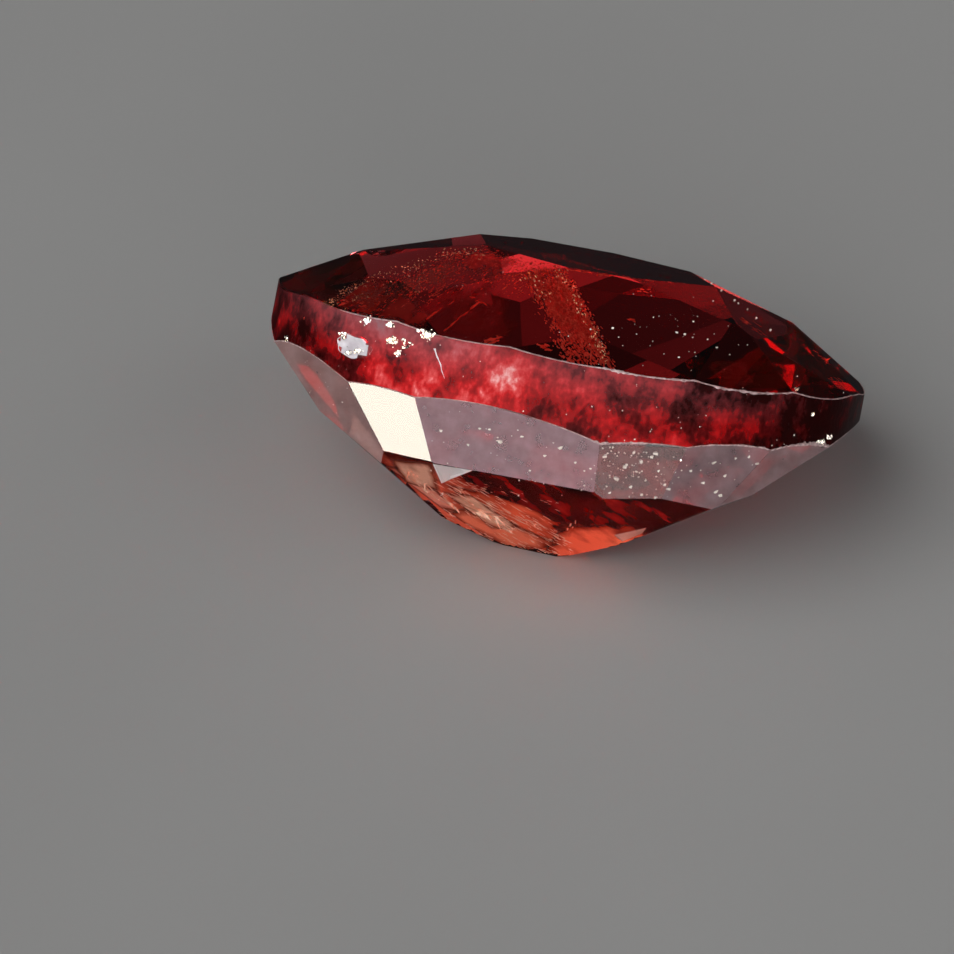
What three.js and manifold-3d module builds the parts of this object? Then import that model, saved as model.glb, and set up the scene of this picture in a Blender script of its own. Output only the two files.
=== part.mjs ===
// An oval, hand-cut red spinel that lies tilted on one facet of its pavilion.
// Millimetres. +Z is up, +X runs along the stone from its left end to its right end.
// The stone is worked as a cutter does it: an oval blank, then one flat cut after another.
// A cut is [azimuth, lean, distance]: the direction that the facet faces round the girdle,
// its lean from the girdle plane, both in degrees, and its distance from the stone's middle.
import * as THREE from 'three';
import { mergeVertices } from 'three/addons/utils/BufferGeometryUtils.js';
import Module from 'manifold-3d';

const degrees = THREE.MathUtils.degToRad;

// The oval of the girdle, seen square on to the table
const HALF_LENGTH = 3.84;
const HALF_WIDTH = 3.19;
const OVAL_POWER = 2.1;
const OVAL_POINTS = 120;

// Heights above the middle of the girdle band
const GIRDLE_TOP = 0.19;
const TABLE_HEIGHT = 1.22;
const BLANK_TOP = 1.6;
const BLANK_BOTTOM = -3.2;

// The crown: the corners of the eight-sided table, and how its facets are set from them
const TABLE_CORNERS = [
  [1.72, -0.32],
  [1.29, 1],
  [0.25, 1.45],
  [-0.82, 1.27],
  [-1.44, 0.54],
  [-1.25, -0.71],
  [-0.12, -1.56],
  [0.66, -1.32],
];
const STAR_LEAN = 16;
const HALF_EXTRA_LEAN = 6;
const HALF_PLACES = [0.27, 0.73];
const MAIN_LIFT = 0.04;

// The pavilion's upper tier, from the left end along the near side and back on the far side
const UPPER_PAVILION = [
  [-164.5, 48, 3.18],
  [-148, 45, 2.93],
  [-116.5, 44, 2.8],
  [-97.5, 44.5, 2.65],
  [-67.5, 46.5, 2.85],
  [-52.5, 48, 2.94],
  [-32, 49, 3.07],
  [1.5, 43, 2.74],
  [25, 44, 2.64],
  [39, 47.5, 2.67],
  [54.5, 55.5, 2.81],
  [81, 50.5, 2.42],
  [101, 50, 2.42],
  [121.5, 49, 2.54],
  [140.5, 49, 2.75],
  [157, 49.5, 2.95],
  [175.5, 50, 3.08],
];

// The facet that the stone lies on, next to the keel
const RESTING_FACET = [78.5, 36.5, 2.22];

// The pavilion's lower tier, in the same order, and the two small facets at the keel's ends
const LOWER_PAVILION = [
  [-164.5, 31, 2.68],
  [-115, 28, 2.49],
  [-96, 28.4, 2.39],
  [-57.5, 27, 2.47],
  [-10, 31.5, 2.57],
  [5.5, 34.5, 2.495],
  [19, 36, 2.485],
  [32.5, 35, 2.41],
  RESTING_FACET,
  [107, 34, 2.38],
  [150, 31, 2.54],
  [174.5, 32, 2.66],
];
const KEEL_END_FACETS = [
  [-101, 23, 2.38],
  [10, 27, 2.515],
];

// The shell-shaped chip on the girdle: its direction round the oval, its height on the band,
// half its width along the girdle, half its height, its depth, and the reach of its hollow
const GIRDLE_CHIP = {
  direction: degrees(-136.5),
  height: -0.22,
  halfWidth: 0.31,
  halfHeight: 0.16,
  depth: 0.06,
  reach: 0.45,
};

// The round scoop under the far left girdle: the middle and the radius of the ball that fits it
const SCOOP_CENTRE = [-2.24, 2.1, -1.07];
const SCOOP_RADIUS = 0.55;

// The direction of the stone's long axis, seen from above, as it lies
const HEADING = -10.9;

// The point of the oval in a direction, and the direction that the girdle faces there
function ovalPoint(angle) {
  const across = Math.abs(Math.cos(angle) / HALF_LENGTH) ** OVAL_POWER;
  const along = Math.abs(Math.sin(angle) / HALF_WIDTH) ** OVAL_POWER;
  const radius = (across + along) ** (-1 / OVAL_POWER);
  return new THREE.Vector2(radius * Math.cos(angle), radius * Math.sin(angle));
}

function facingAt(angle) {
  const point = ovalPoint(angle);
  const x = Math.sign(point.x) * Math.abs(point.x / HALF_LENGTH) ** (OVAL_POWER - 1) / HALF_LENGTH;
  const y = Math.sign(point.y) * Math.abs(point.y / HALF_WIDTH) ** (OVAL_POWER - 1) / HALF_WIDTH;
  return Math.atan2(y, x);
}

// How far the oval reaches in a direction
function ovalReach(azimuth) {
  const power = OVAL_POWER / (OVAL_POWER - 1);
  const x = Math.abs(HALF_LENGTH * Math.cos(azimuth)) ** power;
  const y = Math.abs(HALF_WIDTH * Math.sin(azimuth)) ** power;
  return (x + y) ** (1 / power);
}

// Outward normals: pavilion facets face down, crown facets face up
function pavilionNormal(azimuth, lean) {
  const flat = Math.sin(lean);
  return new THREE.Vector3(Math.cos(azimuth) * flat, Math.sin(azimuth) * flat, -Math.cos(lean));
}

function crownNormal(azimuth, lean) {
  const flat = Math.sin(lean);
  return new THREE.Vector3(Math.cos(azimuth) * flat, Math.sin(azimuth) * flat, Math.cos(lean));
}

function pavilionCut([azimuth, lean, distance]) {
  return { normal: pavilionNormal(degrees(azimuth), degrees(lean)), distance };
}

// A crown cut that passes through a point
function crownCut(azimuth, lean, point) {
  const normal = crownNormal(azimuth, lean);
  return { normal, distance: normal.dot(point) };
}

// A main facet falls from its table corner to just above the girdle's edge
function crownMain([x, y]) {
  const azimuth = facingAt(Math.atan2(y, x));
  const run = ovalReach(azimuth) - (x * Math.cos(azimuth) + y * Math.sin(azimuth));
  const lean = Math.atan2(TABLE_HEIGHT - GIRDLE_TOP - MAIN_LIFT, run);
  return { azimuth, lean, ...crownCut(azimuth, lean, new THREE.Vector3(x, y, TABLE_HEIGHT)) };
}

// A star facet falls from the edge between two table corners
function crownStar([x, y], [nextX, nextY]) {
  const azimuth = Math.atan2(x - nextX, nextY - y);
  return crownCut(azimuth, degrees(STAR_LEAN), new THREE.Vector3(x, y, TABLE_HEIGHT));
}

// A half facet stands a little steeper, between two mains, and meets the girdle's upper edge
function crownHalf(main, next, place) {
  let turn = next.azimuth - main.azimuth;
  if (turn < 0) {
    turn += 2 * Math.PI;
  }
  const azimuth = main.azimuth + turn * place;
  const lean = main.lean + (next.lean - main.lean) * place + degrees(HALF_EXTRA_LEAN);
  const reach = ovalReach(azimuth);
  const rim = new THREE.Vector3(reach * Math.cos(azimuth), reach * Math.sin(azimuth), GIRDLE_TOP);
  return crownCut(azimuth, lean, rim);
}

function crownCuts() {
  const table = { normal: new THREE.Vector3(0, 0, 1), distance: TABLE_HEIGHT };
  const mains = TABLE_CORNERS.map(crownMain);
  const cuts = [table, ...mains];
  mains.forEach((main, index) => {
    const next = (index + 1) % mains.length;
    cuts.push(crownStar(TABLE_CORNERS[index], TABLE_CORNERS[next]));
    HALF_PLACES.forEach((place) => cuts.push(crownHalf(main, mains[next], place)));
  });
  return cuts;
}

const wasm = await Module();
wasm.setup();

function toSolid(geometry) {
  geometry.deleteAttribute('normal');
  geometry.deleteAttribute('uv');
  const merged = mergeVertices(geometry);
  return new wasm.Manifold(new wasm.Mesh({
    numProp: 3,
    vertProperties: new Float32Array(merged.attributes.position.array),
    triVerts: new Uint32Array(merged.index.array),
  }));
}

function toGeometry(solid) {
  const mesh = solid.getMesh();
  const geometry = new THREE.BufferGeometry();
  geometry.setAttribute('position', new THREE.BufferAttribute(mesh.vertProperties, 3));
  geometry.setIndex(new THREE.BufferAttribute(mesh.triVerts, 1));
  return geometry;
}

function ovalBlank() {
  const outline = [];
  for (let index = 0; index < OVAL_POINTS; index += 1) {
    outline.push(ovalPoint(2 * Math.PI * index / OVAL_POINTS));
  }
  const depth = BLANK_TOP - BLANK_BOTTOM;
  const blank = new THREE.ExtrudeGeometry(new THREE.Shape(outline), { depth, bevelEnabled: false });
  blank.translate(0, 0, BLANK_BOTTOM);
  return toSolid(blank);
}

// What a cut takes away: a block that stands on the facet's plane, on its outer side
function cutBlock({ normal, distance }) {
  const size = 5 * HALF_LENGTH;
  const block = new THREE.BoxGeometry(size, size, size);
  block.translate(0, 0, size / 2 + distance);
  block.applyQuaternion(new THREE.Quaternion().setFromUnitVectors(new THREE.Vector3(0, 0, 1), normal));
  return toSolid(block);
}

// An egg-shaped tool that stands off the girdle and bites into it by the chip's depth
function girdleChip({ direction, height, halfWidth, halfHeight, depth, reach }) {
  const offset = reach - depth;
  const spread = 1 / Math.sqrt(1 - (offset / reach) ** 2);
  const facing = facingAt(direction);
  const point = ovalPoint(direction);
  const tool = new THREE.IcosahedronGeometry(1, 6);
  tool.scale(reach, halfWidth * spread, halfHeight * spread);
  tool.translate(offset, 0, 0);
  tool.rotateZ(facing);
  tool.translate(point.x, point.y, height);
  return toSolid(tool);
}

function scoop() {
  const ball = new THREE.IcosahedronGeometry(SCOOP_RADIUS, 6);
  ball.translate(...SCOOP_CENTRE);
  return toSolid(ball);
}

function cutStone() {
  const pavilion = [...UPPER_PAVILION, ...LOWER_PAVILION, ...KEEL_END_FACETS].map(pavilionCut);
  const blocks = [...crownCuts(), ...pavilion].map(cutBlock);
  const chips = [girdleChip(GIRDLE_CHIP), scoop()];
  return [...blocks, ...chips].reduce((stone, tool) => stone.subtract(tool), ovalBlank());
}

// Turns the resting facet down, then swings the long axis to its heading, seen from above
function restingPose() {
  const facet = pavilionCut(RESTING_FACET).normal;
  const tilt = new THREE.Quaternion().setFromUnitVectors(facet, new THREE.Vector3(0, 0, -1));
  const longAxis = new THREE.Vector3(1, 0, 0).applyQuaternion(tilt);
  const swing = degrees(HEADING) - Math.atan2(longAxis.y, longAxis.x);
  const spin = new THREE.Quaternion().setFromAxisAngle(new THREE.Vector3(0, 0, 1), swing);
  return spin.multiply(tilt);
}

const stoneGeometry = toGeometry(cutStone());
stoneGeometry.applyQuaternion(restingPose());
stoneGeometry.computeBoundingBox();
const box = stoneGeometry.boundingBox;
stoneGeometry.translate(
  -(box.min.x + box.max.x) / 2,
  -(box.min.y + box.max.y) / 2,
  -box.min.z,
);

const spinel = new THREE.MeshStandardMaterial({ color: 0x6e1018, roughness: 0.05, metalness: 0 });
const gemstone = new THREE.Mesh(stoneGeometry, spinel);
gemstone.name = 'gemstone';

const group = new THREE.Group();
group.add(gemstone);

export default group;
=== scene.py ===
"""An oval red spinel, cut by hand, lying tilted on one facet of its pavilion on a pale floor.

Lengths are in millimetres until a mesh is made, which is in metres. Small marks are placed on the
sheet: the square that the camera sees, counted in steps of 1/78 mm to the right and down.
"""
import math

import bmesh
import bpy
import numpy as np
from mathutils import Matrix, Vector


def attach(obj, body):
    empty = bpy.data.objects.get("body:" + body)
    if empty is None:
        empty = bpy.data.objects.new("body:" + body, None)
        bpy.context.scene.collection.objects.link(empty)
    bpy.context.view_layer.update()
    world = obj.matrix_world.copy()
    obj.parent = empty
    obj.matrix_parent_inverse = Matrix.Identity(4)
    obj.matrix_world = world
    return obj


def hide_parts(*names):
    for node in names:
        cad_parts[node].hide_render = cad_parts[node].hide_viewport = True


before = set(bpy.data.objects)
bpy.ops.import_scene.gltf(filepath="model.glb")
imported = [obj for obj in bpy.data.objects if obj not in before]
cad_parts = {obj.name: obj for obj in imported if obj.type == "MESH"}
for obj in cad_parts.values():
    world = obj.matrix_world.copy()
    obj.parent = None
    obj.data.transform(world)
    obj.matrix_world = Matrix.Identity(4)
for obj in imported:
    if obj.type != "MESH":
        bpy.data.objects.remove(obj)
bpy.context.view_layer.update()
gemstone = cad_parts["gemstone"]

MM = 0.001
HALF_LENGTH, HALF_WIDTH, OVAL_POWER = 3.84, 3.19, 2.1
REFRACTION = 1.718
# How far the cut edges are rounded, and the least turn between two facets, in degrees, at which they are
EDGE_ROUNDING, LEAST_TURN = 0.012, 9
# How far the frost and the worn edges stand out from the girdle, as shares of its radius
FROST_REACH, WORN_REACH = 1.0012, 1.0018
# How far from square to the table's normal, as a cosine, a face of the girdle may lean
GIRDLE_LEAN = 0.05
# How far beyond its plane, in millimetres, a point may lie for a face to bound the stone
PLANE_SLACK = 0.003
# How far a ray starts from the point that the camera looks at, well outside the stone, and the least
# cosine between a ray and the normal of a facet that it enters
RAY_START, LEAST_SLOPE = 20, 0.001
# The least cosine between the table's normal and that of a crown facet
LEAST_TILT = 0.2
# How far the marks stand off the stone's surface
EDGE_LIFT, FACET_LIFT, FILM_LIFT = 0.003, 0.005, 0.004
NICK_LIFT, DUST_LIFT, CRACK_LIFT = 0.01, 0.006, 0.008
# How deep inside the stone clouds and grains stay at least, and how far outside it nicks and dust may lie
INNER_MARGIN, OUTER_MARGIN = 0.01, 0.02
# How far apart the ends of a step of the sheet may lie inside the stone for a grain to be kept there: seen
# through two facets they lie further apart
LONGEST_STEP = 0.04
# The corners round each nick, speck and grain
FLAKE_CORNERS = 6

# How the stone lies: the azimuth and lean of the facet that it rests on and its distance from the
# stone's middle, and the heading of the long axis from above
RESTING_FACET, RESTING_DISTANCE = (78.5, -36.5), 2.22
HEADING = -10.9
STONE_MIDDLE = np.array([0.0104, 0.1540, RESTING_DISTANCE])

# The picture: the camera's height angle, its small roll, where it looks, and the sheet it takes in
ELEVATION = math.radians(41.1)
ROLL = math.radians(1.2)
LOOK_AT = np.array([-1.2055, -2.0139, 2.0])
CAMERA_DISTANCE = 320.0
SHEET_SIZE = 954
STEPS_PER_MM = 78.0

# The shell-shaped chip on the girdle: its direction round the oval, its height on the band, half its
# width in degrees of the oval and half its height; the depth of its lining, the height of the faint rings
# there and how far it stands off; and the share of its reach within which the frost is taken away
CHIP_DIRECTION, CHIP_HEIGHT = -136.5, -0.22
CHIP_HALF_WIDTH, CHIP_HALF_HEIGHT = 4.6, 0.145
CHIP_DEPTH, CHIP_RINGS, CHIP_LIFT = 0.055, 0.004, 0.006
CHIP_OPEN = 0.9


# The stone's own directions

def facing(azimuth, lean):
    """Where a facet faces, by the stone's own axes, from its azimuth round the girdle and its lean from
    the girdle plane, both in degrees. The lean is negative on the pavilion."""
    azimuth, lean = math.radians(azimuth), math.radians(lean)
    flat = abs(math.sin(lean))
    return Vector((math.cos(azimuth) * flat, math.sin(azimuth) * flat, math.copysign(math.cos(lean), lean)))


def lying_axes():
    """The stone's long axis, short axis and table normal as columns: the turn that takes the resting
    facet's normal straight down, followed by a turn about the vertical that gives the heading."""
    tilt = facing(*RESTING_FACET).rotation_difference(Vector((0, 0, -1))).to_matrix()
    long_axis = tilt @ Vector((1, 0, 0))
    swing = math.radians(HEADING) - math.atan2(long_axis.y, long_axis.x)
    return np.array(Matrix.Rotation(swing, 3, "Z") @ tilt)


STONE_AXES = lying_axes()


def from_stone(points):
    """The stone's own coordinates as points of the floor's frame, both in millimetres."""
    return points @ STONE_AXES.T + STONE_MIDDLE


def add_object(name, mesh, material):
    """An object of the scene with a mesh and its material."""
    thing = bpy.data.objects.new(name, mesh)
    bpy.context.scene.collection.objects.link(thing)
    mesh.materials.append(material)
    return thing


def new_piece(name, points, faces, material, smooth=False):
    """A mesh piece that rides on the stone's body, from points in millimetres and its faces' corners."""
    mesh = bpy.data.meshes.new(name)
    mesh.from_pydata((points * MM).tolist(), [], faces.tolist())
    mesh.update()
    if smooth:
        mesh.polygons.foreach_set("use_smooth", np.ones(len(mesh.polygons), bool))
    piece = add_object(name, mesh, material)
    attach(piece, "root")
    return piece


def give_values(piece, name, values, kind="FLOAT", part="value"):
    """A number or a colour at each point of a piece, for its material to read."""
    attribute = piece.data.attributes.new(name, kind, "POINT")
    attribute.data.foreach_set(part, np.asarray(values, np.float32).ravel())


def give_tints(piece, tints):
    """The tint at each point of a piece, from one or more arrays of them."""
    give_values(piece, "tint", np.concatenate(tints), "FLOAT_COLOR", "color")


def give_places(piece, corner_places):
    """A flat place for each corner of each face, for patterns that follow the surface."""
    layer = piece.data.uv_layers.new(name="place")
    layer.data.foreach_set("uv", np.asarray(corner_places, np.float32).ravel())


# Building blocks of the materials

def feed(tree, node, inputs):
    """Gives each named or numbered input of a node another node's output, or a value of its own."""
    for label, value in inputs.items():
        if isinstance(value, bpy.types.NodeSocket):
            tree.links.new(value, node.inputs[label])
        else:
            node.inputs[label].default_value = value


def add_node(tree, kind, inputs=None, **settings):
    """A node of a kind, with its settings and its inputs."""
    node = tree.nodes.new("ShaderNode" + kind)
    for label, value in settings.items():
        setattr(node, label, value)
    feed(tree, node, inputs or {})
    return node


def calculate(tree, operation, *values):
    """The result of one sum."""
    return add_node(tree, "Math", dict(enumerate(values)), operation=operation).outputs["Value"]


# The places of the two colours among a Mix node's inputs, and of the mixed one among its outputs
FIRST_COLOUR, SECOND_COLOUR, MIXED_COLOUR = 6, 7, 2


def mix_colours(tree, factor, first, second, blend="MIX"):
    """One colour laid over another by a factor."""
    inputs = {"Factor": factor, FIRST_COLOUR: first, SECOND_COLOUR: second}
    return add_node(tree, "Mix", inputs, data_type="RGBA", blend_type=blend).outputs[MIXED_COLOUR]


def add_bump(tree, height, strength, distance):
    """The normal of a surface that a height makes uneven."""
    inputs = {"Height": height, "Strength": strength, "Distance": distance}
    return add_node(tree, "Bump", inputs).outputs["Normal"]


def add_ramp(tree, value, stops):
    """The colour of a ramp with the given (place, colour) stops at a value."""
    ramp = add_node(tree, "ValToRGB", {"Fac": value})
    elements = ramp.color_ramp.elements
    while len(elements) < len(stops):
        elements.new(0.5)
    for element, (place, colour) in zip(elements, stops):
        element.position = place
        element.color = (*colour, 1)
    return ramp.outputs["Color"]


def read_attribute(tree, name, output="Fac"):
    """What a piece's attribute says."""
    return add_node(tree, "Attribute", attribute_name=name).outputs[output]


def read_place(tree):
    """The flat place on a piece."""
    return add_node(tree, "UVMap", uv_map="place").outputs["UV"]


# Effects that several materials share

# The kind of a socket, by how many numbers it takes
SOCKET_KINDS = {1: "NodeSocketFloat", 3: "NodeSocketVector", 4: "NodeSocketColor"}


def new_group(name, inputs, outputs):
    """A shader node group whose sockets have these names and these values or numbers of values; gives
    back its tree, what it is given and its end."""
    group = bpy.data.node_groups.new(name, "ShaderNodeTree")
    for label, value in inputs.items():
        kind = SOCKET_KINDS[np.size(value)]
        group.interface.new_socket(label, in_out="INPUT", socket_type=kind).default_value = value
    for label, size in outputs.items():
        group.interface.new_socket(label, in_out="OUTPUT", socket_type=SOCKET_KINDS[size])
    given = group.nodes.new("NodeGroupInput").outputs
    return group, given, group.nodes.new("NodeGroupOutput")


def grain_group():
    """Grain: a noise on Object coordinates, stretched along the three axes, as a mask between two
    levels of the noise, and the mask as a colour between two colours."""
    group, given, end = new_group("grain", {
        "Scale": 20000.0, "Detail": 3.0, "Stretch": (1, 1, 1), "From": 0.3, "To": 0.7,
        "Deep": (0, 0, 0, 1), "Bright": (1, 1, 1, 1),
    }, {"Mask": 1, "Color": 4})
    where = add_node(group, "TexCoord")
    turn = add_node(group, "Mapping", {"Vector": where.outputs["Object"], "Scale": given["Stretch"]})
    noise = add_node(group, "TexNoise", {
        "Vector": turn.outputs["Vector"], "Scale": given["Scale"], "Detail": given["Detail"]})
    level = add_node(group, "MapRange", {
        "Value": noise.outputs["Fac"], "From Min": given["From"], "From Max": given["To"]})
    mask = level.outputs["Result"]
    feed(group, end, {"Mask": mask, "Color": mix_colours(group, mask, given["Deep"], given["Bright"])})
    return group


def cloud_group():
    """Cloud: a noise on flat places, drawn out along a course, swings about an amount; the sum is the
    strength, and the cover rises from nothing to the most between two strengths."""
    group, given, end = new_group("cloud", {
        "Place": (0, 0, 0), "Course": 0.0, "Drawn": 1.0, "Scale": 2.5, "Detail": 5.0, "Amount": 0.5,
        "Swing": 1.0, "Thin": 0.2, "Dense": 0.8, "Most": 0.9,
    }, {"Strength": 1, "Cover": 1})
    turned = add_node(group, "CombineXYZ", {"Z": given["Course"]})
    drawn = add_node(group, "CombineXYZ", {"X": given["Drawn"], "Y": 1.0, "Z": 1.0})
    turn = add_node(group, "Mapping", {
        "Vector": given["Place"], "Rotation": turned.outputs["Vector"], "Scale": drawn.outputs["Vector"],
    }, vector_type="TEXTURE")
    noise = add_node(group, "TexNoise", {
        "Vector": turn.outputs["Vector"], "Scale": given["Scale"], "Detail": given["Detail"]})
    centred = calculate(group, "SUBTRACT", noise.outputs["Fac"], 0.5)
    strength = calculate(group, "MULTIPLY_ADD", centred, given["Swing"], given["Amount"])
    cover = add_node(group, "MapRange", {
        "Value": strength, "From Min": given["Thin"], "From Max": given["Dense"], "To Max": given["Most"]})
    feed(group, end, {"Strength": strength, "Cover": cover.outputs["Result"]})
    return group


GRAIN = grain_group()
CLOUD = cloud_group()


def place_group(tree, group, **inputs):
    """One of the shared effects placed in a material, with inputs of its own."""
    return add_node(tree, "Group", inputs, node_tree=group)


def new_material(name):
    """An empty material, its tree, its Principled shader and its output."""
    material = bpy.data.materials.new(name)
    material.use_nodes = True
    tree = material.node_tree
    tree.nodes.clear()
    shader = add_node(tree, "BsdfPrincipled")
    return material, tree, shader, add_node(tree, "OutputMaterial", {"Surface": shader.outputs["BSDF"]})


# The stone

def spinel_material():
    """Clear red crystal: polished facets with faint scratches, an unpolished girdle, red absorption."""
    material, tree, shader, output = new_material("spinel")
    ground = place_group(tree, GRAIN, Scale=9000.0, Deep=(0.3, 0.3, 0.3, 1), Bright=(0.5, 0.5, 0.5, 1))
    rough = add_node(tree, "Mix", {
        "Factor": read_attribute(tree, "girdle"), "A": 0.012, "B": ground.outputs["Color"]})
    wave = place_group(tree, GRAIN, Scale=900.0, Detail=1.0, From=0.0, To=1.0)
    scratch = place_group(tree, GRAIN, Scale=14000.0, Detail=2.0, Stretch=(0.12, 1, 1), From=0.0, To=1.0)
    uneven = calculate(tree, "MULTIPLY_ADD", scratch.outputs["Mask"], 0.03, wave.outputs["Mask"])
    feed(tree, shader, {
        "Base Color": (1.0, 0.97, 0.97, 1),
        "Transmission Weight": 1.0,
        "IOR": REFRACTION,
        "Metallic": 0.0,
        "Roughness": rough.outputs["Result"],
        "Normal": add_bump(tree, uneven, 1.0, 0.004 * MM),
    })
    absorption = add_node(tree, "VolumeAbsorption", {"Color": (0.88, 0.1, 0.13, 1), "Density": 1000.0})
    feed(tree, output, {"Volume": absorption.outputs["Volume"]})
    return material


def merged_copy():
    """A copy of the CAD stone with its doubled points merged and each facet one face."""
    bm = bmesh.new()
    bm.from_mesh(gemstone.data)
    bmesh.ops.remove_doubles(bm, verts=bm.verts, dist=1e-8)
    bmesh.ops.dissolve_limit(bm, angle_limit=math.radians(0.3), verts=bm.verts, edges=bm.edges)
    bm.normal_update()
    return bm


def cut_stone():
    """The stone with finely rounded edges. A face belongs to the girdle where its normal is square to
    the table's normal."""
    bm = merged_copy()
    table = Vector(STONE_AXES[:, 2])
    layer = bm.faces.layers.float.new("girdle")
    for face in bm.faces:
        face[layer] = 1.0 if abs(face.normal.dot(table)) < GIRDLE_LEAN else 0.0
        face.smooth = True
    for edge in bm.edges:
        edge.smooth = all(face[layer] > 0.5 for face in edge.link_faces)
    mesh = bpy.data.meshes.new("stone")
    bm.to_mesh(mesh)
    bm.free()
    stone = add_object("stone", mesh, spinel_material())
    bevel = stone.modifiers.new("fine edges", "BEVEL")
    bevel.width = EDGE_ROUNDING * MM
    bevel.segments = 2
    bevel.limit_method = "ANGLE"
    bevel.angle_limit = math.radians(LEAST_TURN)
    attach(stone, "root")
    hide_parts("gemstone")


cut_stone()


# Places on and in the stone

def read_vectors(items, label):
    """One vector for each of a mesh's points or faces."""
    values = np.empty(3 * len(items))
    items.foreach_get(label, values)
    return values.reshape(-1, 3)


def facet_planes():
    """Normals and distances, in millimetres, of the planes that bound the whole stone: a face counts
    where no point of the mesh stands outside its plane, which leaves out the hollows of the chips."""
    points = read_vectors(gemstone.data.vertices, "co")
    normals = read_vectors(gemstone.data.polygons, "normal")
    distances = (normals * read_vectors(gemstone.data.polygons, "center")).sum(1) / MM
    bounding = (points @ normals.T / MM).max(0) < distances + PLANE_SLACK
    return normals[bounding], distances[bounding]


NORMALS, DISTANCES = facet_planes()
STONE_NORMALS = NORMALS @ STONE_AXES
STONE_DISTANCES = DISTANCES - NORMALS @ STONE_MIDDLE

# Directions from the stone: to the big box of light overhead, to the camera, and the camera's axes
BIG_BOX = np.array([-0.4495, -0.3996, 0.7990])
CAMERA_BACK = np.array([0.0, -math.cos(ELEVATION), math.sin(ELEVATION)])
CAMERA_RISE = np.array([0.0, math.sin(ELEVATION), math.cos(ELEVATION)])
CAMERA_RIGHT = np.array([1.0, 0.0, 0.0]) * math.cos(ROLL) - CAMERA_RISE * math.sin(ROLL)
CAMERA_UP = np.array([1.0, 0.0, 0.0]) * math.sin(ROLL) + CAMERA_RISE * math.cos(ROLL)


def from_sheet(places):
    """Millimetres right of and above the point that the camera looks at, from places of the sheet."""
    places = np.asarray(places, float).reshape(-1, 2)
    return (places - SHEET_SIZE / 2) * (1, -1) / STEPS_PER_MM


def on_front(places, lift=0.0):
    """Points on the stone's front, and the normals there, for places of the sheet. A ray from the
    camera enters a convex stone at the last of the planes that face it: its way there is the longest."""
    across = from_sheet(places)
    start = LOOK_AT + across @ np.stack([CAMERA_RIGHT, CAMERA_UP]) + RAY_START * CAMERA_BACK
    slope = NORMALS @ CAMERA_BACK
    front = slope > LEAST_SLOPE
    travel = (start @ NORMALS[front].T - DISTANCES[front]) / slope[front]
    normals = NORMALS[front][travel.argmax(1)]
    points = start - travel.max(1)[:, None] * CAMERA_BACK
    return points + lift * normals, normals


def bent(direction, normals):
    """A direction outside the stone as it is inside, behind facets with these normals (Snell's law)."""
    slope = (normals @ direction)[:, None]
    depth = np.sqrt(1 - (1 - slope ** 2) / REFRACTION ** 2)
    return (direction - slope * normals) / REFRACTION + depth * normals


def seen_inside(places, depth):
    """Points inside the stone that show at places of the sheet, the way back to the camera there and
    the way to the big box overhead, all behind the facet that the camera's ray enters."""
    points, normals = on_front(places)
    back = bent(CAMERA_BACK, normals)
    return points - np.asarray(depth, float).reshape(-1, 1) * back, back, bent(BIG_BOX, normals)


def inside(points, margin):
    """Which points lie within the stone by at least the margin."""
    return (points @ NORMALS.T < DISTANCES - margin).all(1)


def rim(direction):
    """The point of the girdle's oval in a direction: its radius is the inverse of the norm, of the
    oval's power, of the direction's parts over the half-axes."""
    across = np.abs(np.cos(direction) / HALF_LENGTH) ** OVAL_POWER
    along = np.abs(np.sin(direction) / HALF_WIDTH) ** OVAL_POWER
    radius = (across + along) ** (-1 / OVAL_POWER)
    return np.stack([radius * np.cos(direction), radius * np.sin(direction)], -1)


def height_on(points, upper):
    """The height of the crown's surface (upper) or the pavilion's (not upper) over points of the girdle
    plane: the lowest of the crown's planes, or the highest of the pavilion's."""
    tilt = STONE_NORMALS[:, 2]
    used = tilt > LEAST_TILT if upper else tilt < -LEAST_TILT
    heights = (STONE_DISTANCES[used] - points @ STONE_NORMALS[used, :2].T) / tilt[used]
    return heights.min(-1) if upper else heights.max(-1)


def ragged(along, seed, knots, low, high):
    """A random value that changes along a line: straight between evenly spaced random knots."""
    values = np.random.default_rng(seed).uniform(low, high, knots)
    return np.interp(along, np.linspace(0, 1, knots), values)


def bumps(directions, spots):
    """The sum of bell curves over the girdle's directions, each a (direction, half-width, height)."""
    middle, width, height = np.array(spots, float).T[:, :, None]
    away = (np.degrees(directions) - middle + 180) % 360 - 180
    return (height * np.exp(-0.5 * (away / width) ** 2)).sum(0)


def grid_faces(rows, columns, closed):
    """The four-cornered faces of a grid of points, closed into a ring along its columns or not."""
    last = columns if closed else columns - 1
    row, column = np.meshgrid(np.arange(rows - 1), np.arange(last), indexing="ij")
    after = (column + 1) % columns
    corners = [row * columns + column, row * columns + after,
               (row + 1) * columns + after, (row + 1) * columns + column]
    return np.stack(corners, -1).reshape(-1, 4)


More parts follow.
